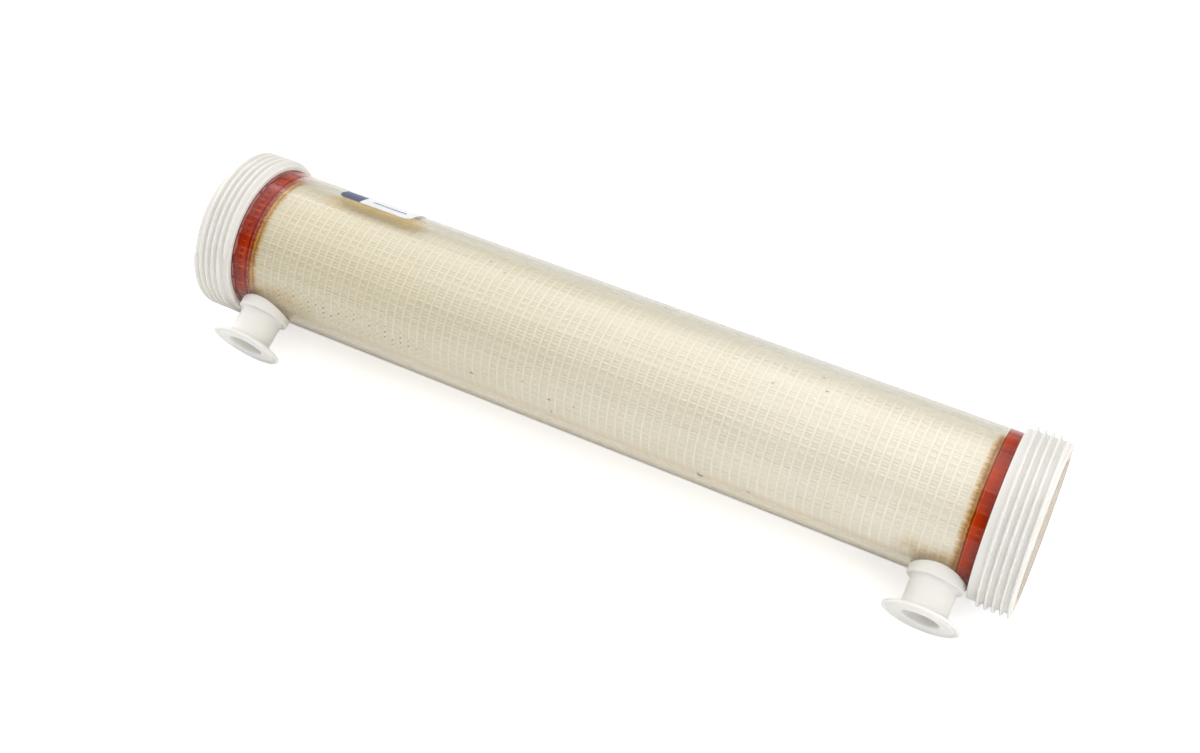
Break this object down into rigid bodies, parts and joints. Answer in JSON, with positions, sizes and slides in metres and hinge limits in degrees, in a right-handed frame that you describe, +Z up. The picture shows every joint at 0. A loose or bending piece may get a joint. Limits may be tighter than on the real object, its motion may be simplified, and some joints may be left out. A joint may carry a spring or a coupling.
{
  "type": "hollow fiber microfiltration cartridge",
  "caption": "Clear tube filled with potted hollow fibres in a net sleeve, with threaded white end collars and clamp ports on its side.",
  "frame": {"origin": "on the floor, under the middle of the object's box", "axes": "+X along the tube towards its right end, +Z up, ports towards -Y and down"},
  "size_m": [0.602, 0.1438, 0.118],
  "materials": {
    "housing_tube": "clear polysulfone with an amber tint, glossy",
    "end_collar": "white moulded plastic, satin",
    "permeate_port": "white moulded plastic, satin",
    "potting": "red-brown cast resin",
    "resin_overlay": "amber soft resin",
    "netting": "off-white moulded net",
    "fibres": "off-white porous polymer",
    "label": "printed film with a satin face"
  },
  "bodies": {
    "root": {"housing_tube": "housing_tube", "end_collars": "end_collar", "permeate_ports": "permeate_port", "left_potting": "potting", "right_potting": "potting", "left_resin_overlay": "resin_overlay", "right_resin_overlay": "resin_overlay", "netting_sleeve": "netting", "fiber_bundle": "fibres", "label": "label"}
  },
  "joints": []
}
